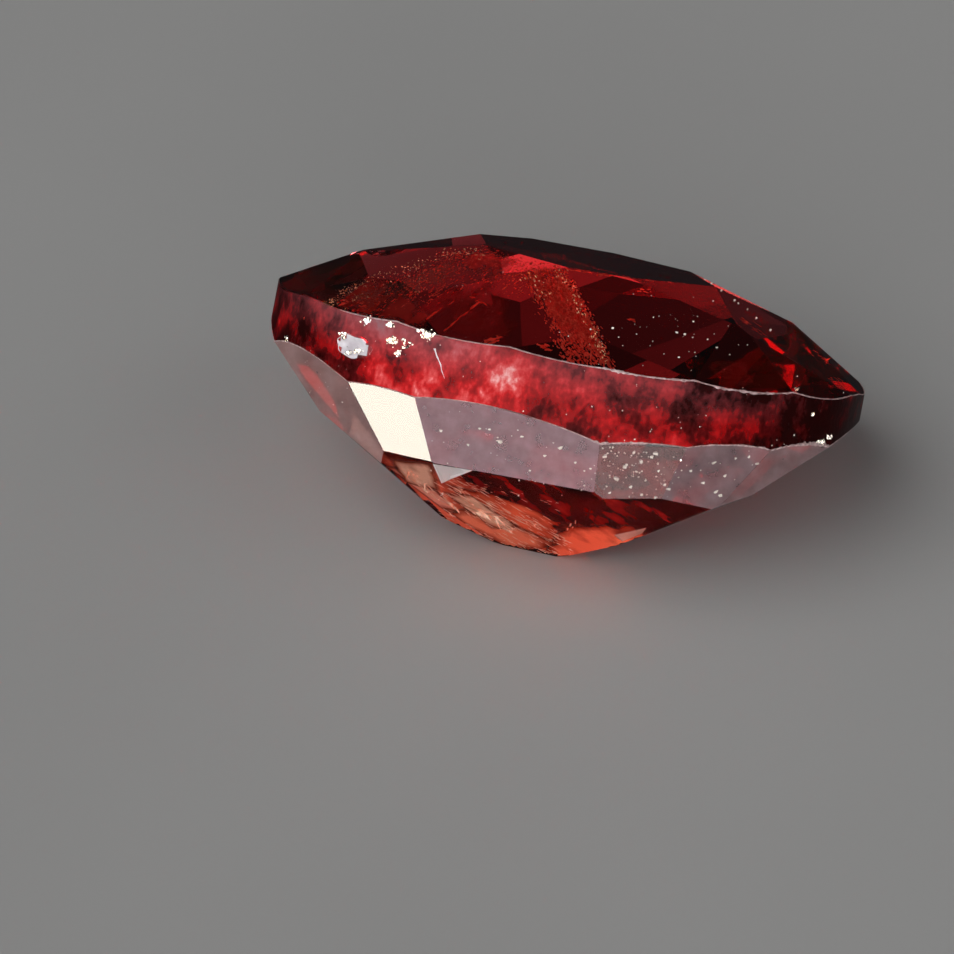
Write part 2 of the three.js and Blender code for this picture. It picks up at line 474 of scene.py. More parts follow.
def flakes(centres, normals, sizes, seed, thickness, drawn=None, along=None):
    """Closed lozenges, one for each centre: a ring of corners at random reach round the centre, square
    to its normal, a point above and a point below. With along, the ring is drawn out that way."""
    rng = np.random.default_rng(seed)
    count = len(centres)
    if along is None:
        side = np.cross(normals, [0.37, 0.81, 0.45])
        start, longer = rng.uniform(0, 2 * np.pi, count)[:, None], 1.0
    else:
        side = along - normals * (along * normals).sum(1)[:, None]
        start, longer = 0.0, drawn[:, None, None]
    side = side / np.linalg.norm(side, axis=1)[:, None]
    other = np.cross(normals, side)
    corner = np.arange(FLAKE_CORNERS)
    turn = start + 2 * np.pi * corner / FLAKE_CORNERS + np.zeros((count, 1))
    reach = (sizes[:, None] * rng.uniform(0.55, 1.15, (count, FLAKE_CORNERS)))[..., None]
    ring = centres[:, None] + reach * (longer * np.cos(turn)[..., None] * side[:, None]
                                       + np.sin(turn)[..., None] * other[:, None])
    peak = normals * (sizes * thickness)[:, None]
    first = np.arange(count)[:, None] * FLAKE_CORNERS + corner
    second = np.roll(first, -1, 1)
    tops = count * FLAKE_CORNERS + np.arange(count)[:, None] + np.zeros_like(first)
    faces = np.concatenate([np.stack([first, second, tops], -1).reshape(-1, 3),
                            np.stack([second, first, tops + count], -1).reshape(-1, 3)])
    return np.concatenate([ring.reshape(-1, 3), centres + peak, centres - peak]), faces


# The unpolished girdle

def frost_material():
    """The ground skin of the girdle: dark crimson, then bright red, then rose and nearly white as its
    tone rises, in clouds with a fine grain, under a painted violet grey sheen towards the upper edge.
    The rose and white are the frost; the dark crimson is painted shade and the bright red a painted
    glow of the light that comes out through the girdle."""
    material, tree, shader, _ = new_material("girdle frost")
    place = read_place(tree)
    coarse = place_group(tree, CLOUD, Place=place, Amount=read_attribute(tree, "tone"),
                         Scale=2.6, Detail=8.0, Swing=1.35)
    fine = place_group(tree, CLOUD, Place=place, Amount=coarse.outputs["Strength"],
                       Scale=14.0, Detail=5.0, Swing=0.6, Course=math.pi / 2, Drawn=1.3)
    strength = fine.outputs["Strength"]
    colour = add_ramp(tree, strength, [
        (0.05, (0.015, 0.001, 0.001)), (0.25, (0.09, 0.002, 0.003)), (0.42, (0.42, 0.005, 0.007)),
        (0.58, (0.75, 0.015, 0.018)), (0.74, (0.85, 0.1, 0.1)), (0.95, (1.0, 0.62, 0.6))])
    cover = [(0.0, 0.97), (0.25, 0.85), (0.45, 0.68), (0.85, 0.95)]
    # A painted violet grey sheen, laid over the colour where the frost is strong
    painted_sheen = calculate(tree, "MULTIPLY", read_attribute(tree, "painted_sheen"), strength)
    feed(tree, shader, {
        "Base Color": mix_colours(tree, painted_sheen, colour, (0.34, 0.15, 0.17, 1)),
        "Alpha": add_ramp(tree, strength, [(stop, (share,) * 3) for stop, share in cover]),
        "Roughness": 0.5,
        "Specular IOR Level": 0.08,
        "Normal": add_bump(tree, strength, 0.4, 0.02 * MM),
    })
    return material


# The girdle's look round the oval: a direction, then the tone at the lower edge, in the middle and at
# the upper edge, from 0 for dark crimson to 1 for nearly white, and the painted violet grey sheen at the
# upper edge. The low tones towards both ends, darkest at the right, are painted shade; the middling
# tones low on the near side paint the glow of light that comes out through the girdle.
GIRDLE_TONES_AND_PAINTED_LIGHT = [
    (-176, 0.12, 0.12, 0.16, 0.3), (-163, 0.14, 0.26, 0.20, 0.3), (-152, 0.16, 0.20, 0.26, 0.8),
    (-141, 0.20, 0.34, 0.46, 1.3), (-128, 0.50, 0.44, 0.52, 1.5), (-118, 0.62, 0.46, 0.50, 1.3),
    (-110, 0.54, 0.50, 0.48, 1.0), (-104, 0.50, 0.64, 0.50, 0.6), (-99, 0.44, 0.78, 0.52, 0.35),
    (-94, 0.36, 0.54, 0.48, 0.5), (-86, 0.30, 0.41, 0.44, 0.7), (-78, 0.34, 0.37, 0.39, 0.7),
    (-71, 0.46, 0.32, 0.31, 0.8), (-62, 0.44, 0.22, 0.24, 0.8), (-54, 0.40, 0.14, 0.18, 0.9),
    (-45, 0.30, 0.20, 0.16, 0.6), (-34, 0.04, 0.05, 0.06, 0.3), (-20, 0.00, 0.00, 0.02, 0.1),
    (30, 0.14, 0.18, 0.22, 0.5), (90, 0.18, 0.30, 0.36, 0.8), (150, 0.16, 0.26, 0.30, 0.5),
]


def girdle_frost():
    """A skin just outside the girdle: for each direction the rim's point, from the pavilion's height
    there up to the crown's. Its tone follows the table, straight between directions and heights."""
    columns, rows = 480, 13
    direction = np.linspace(-np.pi, np.pi, columns, endpoint=False)
    outline = rim(direction)
    low, high = height_on(outline, False), height_on(outline, True)
    share = np.linspace(0.01, 0.99, rows)[:, None]
    height = low + (high - low) * share
    outer = np.broadcast_to(outline * FROST_REACH, (rows, columns, 2))
    points = np.concatenate([outer, height[..., None]], -1)
    corner = grid_faces(rows, columns, True)
    skin = new_piece("girdle_frost", from_stone(points.reshape(-1, 3)), corner, frost_material(), True)
    table = np.array(GIRDLE_TONES_AND_PAINTED_LIGHT).T
    levels = [np.interp(np.degrees(direction), table[0], level, period=360) for level in table[1:]]
    lower, middle, upper, painted_sheen = levels
    rise = np.where(share < 0.5, (middle - lower) * 2 * share,
                    middle - lower + (upper - middle) * (2 * share - 1))
    give_values(skin, "tone", lower + rise)
    # The painted sheen grows from a third of the way up to full near the upper edge
    give_values(skin, "painted_sheen", painted_sheen * np.clip((share - 0.35) / 0.6, 0, 1))
    step = np.linalg.norm(np.roll(outline, -1, 0) - outline, axis=1)
    length = np.concatenate([[0], np.cumsum(step)])
    column, row = corner % columns, corner // columns
    wraps = (column == 0) & (column.max(1) == columns - 1)[:, None]
    along = np.where(wraps, length[-1], length[column])
    give_places(skin, np.stack([along, height[row, column]], -1))
    return skin


def open_chip(skin):
    """Takes the skin's faces away where the shell-shaped chip lies open."""
    bm = bmesh.new()
    bm.from_mesh(skin.data)
    middle = np.array([face.calc_center_median() for face in bm.faces])
    middle = (middle / MM - STONE_MIDDLE) @ STONE_AXES
    turn = np.degrees(np.arctan2(middle[:, 1], middle[:, 0])) - CHIP_DIRECTION
    away = np.hypot(turn / CHIP_HALF_WIDTH, (middle[:, 2] - CHIP_HEIGHT) / CHIP_HALF_HEIGHT)
    bare = [face for face, far in zip(bm.faces, away) if far < CHIP_OPEN]
    bmesh.ops.delete(bm, geom=bare, context="FACES")
    bm.to_mesh(skin.data)
    bm.free()


open_chip(girdle_frost())


def pale_material(name, deep, bright, roughness=0.5, scale=20000.0, metallic=0.0, gloss=0.5):
    """A dusty, worn or sparkling surface, its tone varied by a fine grain between two colours."""
    material, tree, shader, _ = new_material(name)
    grain = place_group(tree, GRAIN, Scale=scale, Deep=(*deep, 1), Bright=(*bright, 1))
    feed(tree, shader, {"Base Color": grain.outputs["Color"], "Roughness": roughness,
                        "Metallic": metallic, "Specular IOR Level": gloss})
    return material


WORN = pale_material("worn edge", (0.22, 0.13, 0.13), (0.78, 0.58, 0.57))
SHELL = pale_material("chip lining", (0.36, 0.3, 0.35), (0.98, 0.94, 0.97), 0.3, 2200.0)
SPARKLE = pale_material("bright nicks", (1.0, 0.86, 0.62), (0.94, 0.97, 1.0), 0.25, 7000.0, 1.0)
DUST = pale_material("dust", (0.6, 0.52, 0.44), (0.98, 0.92, 0.84), 0.8)


def worn_edge(name, upper, spots, seed):
    """A ragged ribbon folded over one edge of the girdle: a row on the girdle, a row on the edge and a
    row on the facets, whose distances from the edge are a bell-shaped width times a random one."""
    columns = 1440
    direction = np.linspace(-np.pi, np.pi, columns, endpoint=False)
    outline = rim(direction)
    edge = height_on(outline, upper)
    spread = bumps(direction, spots)
    along = np.linspace(0, 1, columns)
    girdle_width = spread * ragged(along, seed, 700, 0.15, 1.0) * ragged(along, seed + 1, 150, 0.2, 1.0)
    facet_width = spread * ragged(along, seed + 2, 700, 0.1, 0.9) * ragged(along, seed + 3, 150, 0.1, 0.9)
    radius = np.linalg.norm(outline, axis=1)
    inner = outline * (1 - facet_width / radius)[:, None]
    outward = 1 if upper else -1
    rows = [
        np.column_stack([outline * WORN_REACH, edge - outward * girdle_width]),
        np.column_stack([outline * WORN_REACH, edge + outward * EDGE_LIFT]),
        np.column_stack([inner, height_on(inner, upper) + outward * FACET_LIFT]),
    ]
    points = from_stone(np.concatenate(rows[::outward]))
    keep = np.minimum(spread, np.roll(spread, -1)) > 0.004
    faces = grid_faces(3, columns, True)[np.tile(keep, 2)]
    new_piece(name, points, faces, WORN)


worn_edge("worn_upper_edge", True, [
    (-76, 5, 0.036), (-58, 8, 0.022), (-42, 9, 0.026), (-18, 8, 0.008), (-132, 6, 0.015),
    (-100, 12, 0.008), (60, 60, 0.012)], 11)
worn_edge("worn_lower_edge", False, [
    (-74, 8, 0.038), (-42, 10, 0.03), (-25, 7, 0.05), (-150, 12, 0.018), (-112, 8, 0.01),
    (120, 60, 0.012)], 23)


def chip_lining():
    """The lining of the shell-shaped chip: an uneven ellipse on the girdle whose depth falls off as the
    square of the distance from its middle, with faint rings."""
    rings, columns = 11, 48
    share = np.linspace(0.02, 1.0, rings)[:, None]
    turn = np.linspace(0, 2 * np.pi, columns, endpoint=False)
    reach = share * (1 + 0.05 * np.sin(3 * turn + 1) + 0.04 * np.sin(7 * turn))
    direction = np.radians(CHIP_DIRECTION + CHIP_HALF_WIDTH * reach * np.cos(turn))
    height = CHIP_HEIGHT + CHIP_HALF_HEIGHT * reach * np.sin(turn)
    ripple = CHIP_RINGS * np.sin(26 * share + 2 * np.cos(turn))
    depth = CHIP_DEPTH * (1 - share ** 2) + ripple - CHIP_LIFT
    outline = rim(direction)
    radius = np.linalg.norm(outline, axis=-1)
    points = np.concatenate([outline * (1 - depth / radius)[..., None], height[..., None]], -1)
    faces = grid_faces(rings, columns, True)
    new_piece("chip_lining", from_stone(points.reshape(-1, 3)), faces, SHELL, True)


chip_lining()


# Dust and small bright nicks on the surface

# Clusters of nicks on the sheet: middle, half width, half height and number of the nicks
NICKS = [
    (367, 321, 4, 3, 26), (391, 326, 4, 2.5, 22), (393, 341, 4.5, 5, 34), (399, 352, 3, 4, 14),
    (428, 336, 6, 5, 46), (421, 331, 3, 1.5, 10), (407, 345, 8, 7, 16), (352, 352, 10, 3, 12),
    (344, 336, 3, 4, 8), (795, 390, 1.5, 1.5, 5), (811, 414, 1.2, 1.2, 4), (820, 441, 4, 2.5, 18),
    (829, 437, 3, 2, 10), (287, 338, 1.5, 4, 6),
]
# Single larger specks of dust
SPECKS = [
    (653, 318), (693, 322), (676, 333), (684, 335), (692, 338), (707, 340), (716, 348), (729, 355),
    (706, 279), (712, 283), (722, 290), (735, 300), (739, 303), (748, 309), (757, 318), (771, 330),
    (568, 337), (590, 330), (612, 329), (618, 338), (636, 335), (652, 342), (678, 358),
    (604, 456), (612, 447), (624, 466), (626, 464), (633, 452), (640, 461), (645, 480), (651, 456),
    (655, 453), (657, 463), (668, 488), (630, 486), (616, 478), (641, 494), (655, 497), (636, 471),
    (664, 484), (606, 486), (609, 492), (658, 470), (690, 470), (702, 482), (713, 462), (724, 475),
    (735, 458), (715, 491), (720, 494), (748, 456), (756, 463), (480, 428), (500, 441), (522, 436),
    (545, 455), (560, 447), (575, 462), (530, 470), (468, 444), (590, 468), (441, 430), (489, 429),
]


def scattered(name, places, sizes, material, seed, lift, pull):
    """Lozenges on the stone's front at places of the sheet, each turned a little at random, and by the
    pull towards the way that sends the light of the big box overhead to the camera. Places beside the
    stone are left out."""
    centres, normals = on_front(places, lift)
    kept = inside(centres, -OUTER_MARGIN)
    centres, sizes = centres[kept], np.asarray(sizes, float)[kept]
    normals = normals[kept] * (1 - pull) + (CAMERA_BACK + BIG_BOX) / 2 * pull
    normals = normals + np.random.default_rng(seed).normal(0, 0.22, normals.shape)
    normals /= np.linalg.norm(normals, axis=1)[:, None]
    shapes, faces = flakes(centres, normals, sizes / STEPS_PER_MM, seed, 0.12)
    new_piece(name, shapes, faces, material)


def bright_nicks():
    """Each cluster's nicks lie about its middle by a normal spread; a nick is smaller further out."""
    rng = np.random.default_rng(3)
    table = np.repeat(np.array(NICKS, float)[:, :4], [row[4] for row in NICKS], axis=0)
    away = rng.normal(0, 0.5, (len(table), 2))
    places = table[:, :2] + away * table[:, 2:]
    sizes = rng.uniform(0.9, 3.6, len(table)) * np.exp(-0.6 * np.hypot(*away.T))
    scattered("bright_nicks", places, sizes, SPARKLE, 3, NICK_LIFT, 0.8)


def dust():
    """The larger specks, and finer ones strewn at random over the crown and the near facets."""
    rng = np.random.default_rng(5)
    fine = np.concatenate([
        np.column_stack([rng.normal(640, 28, 70), rng.normal(470, 14, 70)]),
        np.column_stack([rng.uniform(425, 800, 70), rng.uniform(405, 500, 70)]),
        np.column_stack([rng.normal(690, 45, 24), rng.normal(338, 16, 24)]),
        np.column_stack([rng.uniform(330, 850, 40), rng.uniform(270, 400, 40)]),
        np.column_stack([rng.uniform(300, 350, 20), rng.uniform(350, 420, 20)]),
    ])
    specks = np.array(SPECKS, float)
    large = np.where(specks[:, 1] > 400, 1.0, 0.5) * rng.uniform(1.5, 3.4, len(specks))
    small = np.where(fine[:, 1] > 400, 1.0, 0.6) * rng.uniform(0.5, 1.2, len(fine))
    places, sizes = np.concatenate([specks, fine]), np.concatenate([large, small])
    kept = (places[:, 1] > 250) & (places[:, 1] < 500)
    scattered("dust", places[kept], sizes[kept], DUST, 9, DUST_LIFT, 0.6)


bright_nicks()
dust()


# Thin films on facets, one of them a painted highlight, and clouds inside: most of tiny hollows,
# those in the keel and one in the crown a painted glow

def cloud_material(name, course, drawn, scale, swing, most, dense, shade, gloss=0.0):
    """A thin cloud: its cover comes from its amount and a noise drawn out along a course given in
    degrees and is full from the dense strength on, and its tint turns to the shade where it is thin."""
    material, tree, shader, _ = new_material(name)
    cloud = place_group(tree, CLOUD, Place=read_place(tree), Amount=read_attribute(tree, "amount"),
                        Course=math.radians(course), Drawn=drawn, Scale=scale, Detail=6.0,
                        Swing=swing, Thin=dense - 0.6, Dense=dense, Most=most)
    light = add_ramp(tree, cloud.outputs["Strength"], [(0.3, shade), (0.9, (1, 1, 1))])
    tint = read_attribute(tree, "tint", "Color")
    feed(tree, shader, {
        "Base Color": mix_colours(tree, 1.0, tint, light, "MULTIPLY"),
        "Alpha": cloud.outputs["Cover"],
        "Roughness": 0.6,
        "Specular IOR Level": gloss,
    })
    return material


def facet_outline(azimuth, lean):
    """The corners, in millimetres, and the normal of the facet that faces nearest to an azimuth and a
    lean."""
    bm = merged_copy()
    towards = Vector(STONE_AXES @ np.array(facing(azimuth, lean)))
    face = max(bm.faces, key=lambda face: face.normal.dot(towards))
    corners = np.array([vertex.co for vertex in face.verts]) / MM
    normal = np.array(face.normal)
    bm.free()
    return corners, normal


# Films on whole facets: the facet's azimuth and lean, the film's amount and its tint
FACET_FILMS = [
    (-97.5, -44.5, 0.54, (0.80, 0.52, 0.58)),
    (-67.5, -46.5, 0.52, (0.62, 0.42, 0.41)),
    (-52.5, -48, 0.58, (0.60, 0.45, 0.48)),
    (-32, -49, 0.58, (0.70, 0.53, 0.55)),
    (-148, -45, 0.62, (0.62, 0.41, 0.40)),
    (-164.5, -48, 0.45, (0.55, 0.42, 0.42)),
]
# Films on a part of a facet: corners on the sheet, the amount at each corner and the tint. The first
# is a white patch, the second a salmon patch, and the last a painted peach highlight of the light that
# comes up through the keel.
PART_FILMS_AND_HIGHLIGHTS = [
    ([(432, 463), (474, 470), (452, 479), (441, 484)], (1.4, 1.2, 0.7, 1.0), (1.0, 0.95, 0.95)),
    ([(352, 408), (383, 452), (380, 461), (349, 433)], (0.6, 1.3, 1.3, 1.2), (1.0, 0.6, 0.5)),
    ([(613, 535), (648, 527), (644, 533), (622, 542)], (0.9, 0.7, 0.6, 0.8), (1.0, 0.42, 0.33)),
]
# The border along which a film or a cloud fades out, as a share of its reach: on a facet, on a part of
# one, and inside the stone
FACET_FADE, PART_FADE, CLOUD_FADE = 0.002, 0.12, 0.2


def film_on(corners, normal, amounts, fade):
    """A film over one flat outline: rings that shrink towards its middle. Each ring's point is the
    middle plus a share of the way to the outline, and the amount falls off within the fade."""
    spots = np.linspace(0, len(corners), 12 * len(corners), endpoint=False)
    before = spots.astype(int)
    part = (spots - before)[:, None]
    after = (before + 1) % len(corners)
    outline = corners[before] * (1 - part) + corners[after] * part
    amounts = np.broadcast_to(np.asarray(amounts, float), len(corners))
    edge_amount = amounts[before] * (1 - part[:, 0]) + amounts[after] * part[:, 0]
    share = np.array([0.02, 0.3, 0.6, 0.8, 0.9, 0.96, 0.998])[:, None]
    middle = corners.mean(0)
    points = middle + (outline - middle) * share[..., None] + FILM_LIFT * normal
    amount = amounts.mean() * (1 - share) + edge_amount * share
    amount = amount * np.clip((1 - share) / fade, 0, 1)
    return points.reshape(-1, 3), amount.ravel(), len(spots), len(share)


# The material of each film, also used for the painted peach highlight
FILM_AND_HIGHLIGHTS = cloud_material("film", 0, 1.0, 3.5, 0.4, 0.85, 0.8, (0.6, 0.4, 0.4), 0.3)


def films_and_highlights():
    """Every film and the painted highlight as one mesh, with their places on the sheet for the
    cloud's pattern.
    """
    outlines = []
    for azimuth, lean, amount, tint in FACET_FILMS:
        outlines.append((*facet_outline(azimuth, lean), amount, FACET_FADE, tint))
    for corners, amounts, tint in PART_FILMS_AND_HIGHLIGHTS:
        points, normals = on_front(corners)
        outlines.append((points, normals[0], amounts, PART_FADE, tint))
    parts, faces, amounts, tints, start = [], [], [], [], 0
    for corners, normal, amount, fade, tint in outlines:
        points, amount, columns, rows = film_on(corners, normal, amount, fade)
        ring = grid_faces(rows, columns, True)
        turned = np.cross(points[1] - points[0], points[columns] - points[0]) @ normal < 0
        faces.append((ring[:, ::-1] if turned else ring) + start)
        parts.append(points)
        amounts.append(amount)
        tints.append(np.broadcast_to((*tint, 1), (len(points), 4)))
        start += len(points)
    points, faces = np.concatenate(parts), np.concatenate(faces)
    film = new_piece("films_and_highlights", points, faces, FILM_AND_HIGHLIGHTS, True)
    give_values(film, "amount", np.concatenate(amounts))
    give_tints(film, tints)
    away = points - LOOK_AT
    flat = np.stack([away @ CAMERA_RIGHT, away @ CAMERA_UP], -1)
    give_places(film, flat[faces.reshape(-1)])


films_and_highlights()


# Clouds inside: four corners on the sheet in order, the depth, the amount at each corner, the tint
CROWN_CLOUDS_AND_GLOW = [
    ([(508, 256), (562, 267), (613, 367), (571, 355)], 0.22, (0.75, 0.95, 0.95, 0.75), (1.0, 0.075, 0.045)),
    ([(436, 255), (470, 246), (522, 258), (500, 292)], 0.28, (0.45, 0.65, 0.85, 0.6), (0.9, 0.05, 0.035)),
    ([(400, 320), (440, 283), (506, 283), (520, 345)], 0.5, (0.35, 0.5, 0.55, 0.3), (0.7, 0.03, 0.025)),
    ([(328, 304), (478, 247), (482, 272), (352, 318)], 0.14, (0.4, 0.55, 0.45, 0.25), (0.8, 0.14, 0.07)),
    ([(296, 300), (380, 262), (446, 322), (420, 348)], 0.2, (0.65, 0.7, 0.8, 0.8), (0.5, 0.03, 0.02)),
    ([(430, 300), (500, 262), (532, 352), (440, 342)], 0.6, (0.4, 0.45, 0.5, 0.5), (0.4, 0.012, 0.012)),
    # The last one paints a faint red glow of light in the crown's right side
    ([(695, 360), (745, 356), (768, 390), (712, 388)], 0.15, (0.3, 0.45, 0.4, 0.3), (0.6, 0.02, 0.012)),
]
# In the keel, sheets whose salmon and peach tints, lit by the lamp under the floor, paint the glow of light
# that comes up through the keel; the palest ones are painted highlights
KEEL_GLOW_CLOUDS = [
    ([(425, 452), (610, 480), (730, 510), (560, 560)], 0.32, (0.3, 0.1, 0.05, 0.5), (0.5, 0.03, 0.02)),
    ([(366, 444), (430, 456), (600, 560), (470, 575)], 0.24, (1.1, 0.9, 1.0, 1.1), (1.0, 0.21, 0.11)),
    ([(433, 478), (486, 492), (575, 524), (548, 556)], 0.16, (1.0, 0.4, 0.6, 1.0), (1.0, 0.20, 0.09)),
    ([(535, 568), (562, 524), (640, 525), (668, 545)], 0.14, (1.1, 0.6, 0.5, 1.1), (1.0, 0.19, 0.09)),
    ([(385, 466), (412, 466), (462, 514), (446, 512)], 0.14, (1.1, 0.8, 0.9, 1.1), (1.0, 0.44, 0.32)),
    ([(446, 512), (476, 505), (560, 545), (515, 555)], 0.12, (1.1, 0.7, 0.8, 1.1), (1.0, 0.30, 0.16)),
    ([(388, 458), (432, 463), (442, 494), (404, 482)], 0.08, (0.9, 0.8, 0.8, 0.9), (1.0, 0.66, 0.48)),
    ([(440, 490), (470, 494), (520, 528), (492, 530)], 0.10, (0.9, 1.0, 1.0, 0.8), (1.0, 0.66, 0.46)),
]


def clouds(name, patches, material):
    """The clouds of a list as one mesh: each is a grid whose places are the two-way average of its four
    corners, followed into the stone along the line of sight, fading out at its border. Faces that would
    reach out of the stone are left out."""
    rows, columns = 16, 22
    up, right = np.meshgrid(np.linspace(0, 1, rows), np.linspace(0, 1, columns), indexing="ij")
    weights = [(1 - up) * (1 - right), up * (1 - right), up * right, (1 - up) * right]
    weights = np.stack(weights, -1).reshape(-1, 4)
    border = np.minimum(np.minimum(up, 1 - up), np.minimum(right, 1 - right)).ravel()
    fade = np.clip(border / CLOUD_FADE, 0, 1)
    points, faces, places, amounts, tints = [], [], [], [], []
    for number, (corners, depth, amount, tint) in enumerate(patches):
        place = weights @ np.array(corners, float)
        wave = depth * (1 + 0.25 * np.sin(place[:, 0] / 9) * np.cos(place[:, 1] / 11))
        points.append(seen_inside(place, wave)[0])
        faces.append(grid_faces(rows, columns, False) + number * rows * columns)
        places.append(from_sheet(place))
        amounts.append(weights @ np.array(amount) * fade)
        tints.append(np.broadcast_to((*tint, 1), (len(place), 4)))
    points, faces = np.concatenate(points), np.concatenate(faces)
    used, corners = np.unique(faces[inside(points, INNER_MARGIN)[faces].all(1)], return_inverse=True)
    cloud = new_piece(name, points[used], corners.reshape(-1, 4), material, True)
    give_values(cloud, "amount", np.concatenate(amounts)[used])
    give_tints(cloud, [np.concatenate(tints)[used]])
    give_places(cloud, np.concatenate(places)[used][corners.ravel()])


# The crown's clouds, the last of which paints a glow
VEIL_AND_GLOW = cloud_material("crown cloud", 38, 2.5, 5.0, 1.4, 0.85, 0.8, (0.6, 0.4, 0.4))
# The keel's sheets: a painted glow, turning darker where thin
GLOW = cloud_material("keel glow clouds", -31, 3.5, 7.0, 2.0, 0.97, 0.4, (0.35, 0.12, 0.08))
clouds("crown_clouds_and_glow", CROWN_CLOUDS_AND_GLOW, VEIL_AND_GLOW)
clouds("keel_glow_clouds", KEEL_GLOW_CLOUDS, GLOW)


# Drifts of grains inside: the line they start from on the sheet, their spread, the course they are
# drawn out along, their number, their depths in millimetres, their half widths on the sheet, how many
# times longer than wide they are, and how far they fall away from the line, if at all
GOLD_DRIFTS = [
    ([(320, 306), (333, 298), (343, 290), (363, 282), (377, 272), (407, 265), (427, 258), (450, 250),
      (482, 246)], 1.4, (0.1, 1), 170, (0.02, 0.08), (0.35, 0.8), (1, 2), (0, 7)),
    ([(322, 308), (343, 292), (377, 274), (407, 267), (430, 260)],
     0.8, (0.05, 1), 70, (0.03, 0.12), (0.2, 0.35), (4, 10), (1, 30)),
    ([(558, 266), (572, 287), (582, 308), (592, 326), (601, 348), (611, 366)],
     1.8, (0.4, 1), 110, (0.02, 0.08), (0.35, 0.9), (1, 2.5), (-7, 0)),
    ([(527, 277), (547, 299)], 4, (0.6, 1), 34, (0.05, 0.2), (0.5, 1.3), (1, 3)),
    ([(440, 250), (482, 250)], 2, (1, 0.2), 30, (0.05, 0.2), (0.4, 1.0), (1, 3), (0, 8)),
]
RED_DRIFTS_AND_GLINTS = [
    ([(556, 264), (572, 287), (583, 308), (593, 326), (601, 348), (611, 366)],
     3, (0.5, 1), 2400, (0.03, 0.2), (0.5, 1.3), (1, 3), (-44, -2)),
    ([(436, 254), (480, 248), (520, 262)], 3, (1, -0.7), 700, (0.05, 0.35), (0.35, 0.9), (1, 4), (4, 34)),
    ([(345, 300), (400, 275), (440, 262)], 3, (1, -0.7), 700, (0.05, 0.3), (0.3, 0.8), (1, 4), (4, 36)),
    ([(425, 320), (452, 302)], 0.5, (27, -20), 9, (0.15, 0.3), (0.5, 0.9), (6, 12)),
    ([(445, 330), (477, 305)], 0.5, (32, -25), 9, (0.15, 0.3), (0.5, 0.9), (6, 12)),
    ([(430, 295), (450, 285)], 1.5, (20, -10), 8, (0.15, 0.3), (0.4, 0.8), (5, 10)),
    ([(470, 297), (487, 306)], 0.8, (17, 9), 8, (0.15, 0.3), (0.4, 0.8), (3, 6)),
    ([(567, 270), (620, 277), (690, 283)], 0.8, (1, 0.1), 40, (0.05, 0.15), (0.4, 0.9), (3, 8)),
    # The rows from here to the one at (300, 332) paint red glints: flecks set where facets and the girdle
    # show reflections
    ([(484, 341), (499, 340)], 2, (1, -0.1), 14, (0.05, 0.2), (1.0, 2.4), (1, 3)),
    ([(535, 346), (550, 350)], 2, (1, 0.2), 14, (0.05, 0.2), (0.8, 2.0), (1, 3)),
    ([(340, 303), (347, 301)], 1.8, (1, -0.1), 10, (0.05, 0.2), (0.8, 2.0), (1, 2)),
    ([(628, 320), (638, 320)], 1.6, (1, 0.2), 8, (0.05, 0.3), (0.8, 1.8), (1, 3)),
    ([(640, 290), (652, 292)], 1.6, (1, 0.2), 8, (0.05, 0.3), (0.8, 1.8), (1, 3)),
    ([(745, 320), (762, 333)], 2, (1, 0.7), 16, (0.05, 0.2), (1.0, 2.2), (1, 4)),
    ([(817, 353), (835, 362)], 1.8, (1, 0.5), 18, (0.05, 0.2), (1.0, 2.4), (1, 4)),
    ([(832, 377), (845, 387)], 2, (1, 0.6), 18, (0.05, 0.2), (1.0, 2.4), (1, 3)),
    ([(300, 332), (310, 312)], 2.6, (0.5, -1), 26, (0.02, 0.1), (1.0, 2.6), (1, 3)),
    ([(778, 404), (784, 432)], 3.0, (0.2, 1), 30, (0.02, 0.1), (0.8, 2.2), (1, 4)),
]
# Streaks in the keel: peach lozenges lit by the lamp under the floor that paint the same glow
KEEL_GLOW_STREAKS = [
    ([(440, 486), (560, 545)], 9, (60, 34), 240, (0.02, 0.08), (0.4, 1.2), (3, 12)),
    ([(462, 502), (512, 530)], 2.2, (60, 34), 60, (0.01, 0.05), (0.8, 1.8), (5, 12)),
    ([(446, 500), (466, 518)], 1.5, (20, 17), 14, (0.02, 0.08), (0.8, 1.6), (4, 8)),
    ([(406, 470), (431, 496)], 2.4, (25, 24), 50, (0.01, 0.05), (0.6, 1.4), (3, 8)),
    ([(528, 521), (541, 528)], 2, (60, 34), 14, (0.02, 0.08), (0.8, 1.8), (2, 5)),
    ([(553, 534), (566, 544)], 2.5, (60, 34), 16, (0.02, 0.08), (0.8, 1.8), (1, 4)),
    ([(572, 524), (600, 540)], 4, (-0.2, 1), 26, (0.02, 0.1), (0.4, 1.0), (4, 9)),
    ([(440, 512), (500, 545), (560, 555)], 3, (60, 26), 70, (0.02, 0.08), (0.5, 1.3), (2, 7)),
    ([(445, 478), (500, 490), (560, 505)], 3, (60, 20), 40, (0.02, 0.1), (0.3, 0.7), (3, 10)),
]


def on_line(points, shares):
    """Places along a broken line of the sheet, for shares of its number of steps."""
    points = np.asarray(points, float)
    knots = np.linspace(0, 1, len(points))
    return np.stack([np.interp(shares, knots, points[:, axis]) for axis in range(2)], -1)


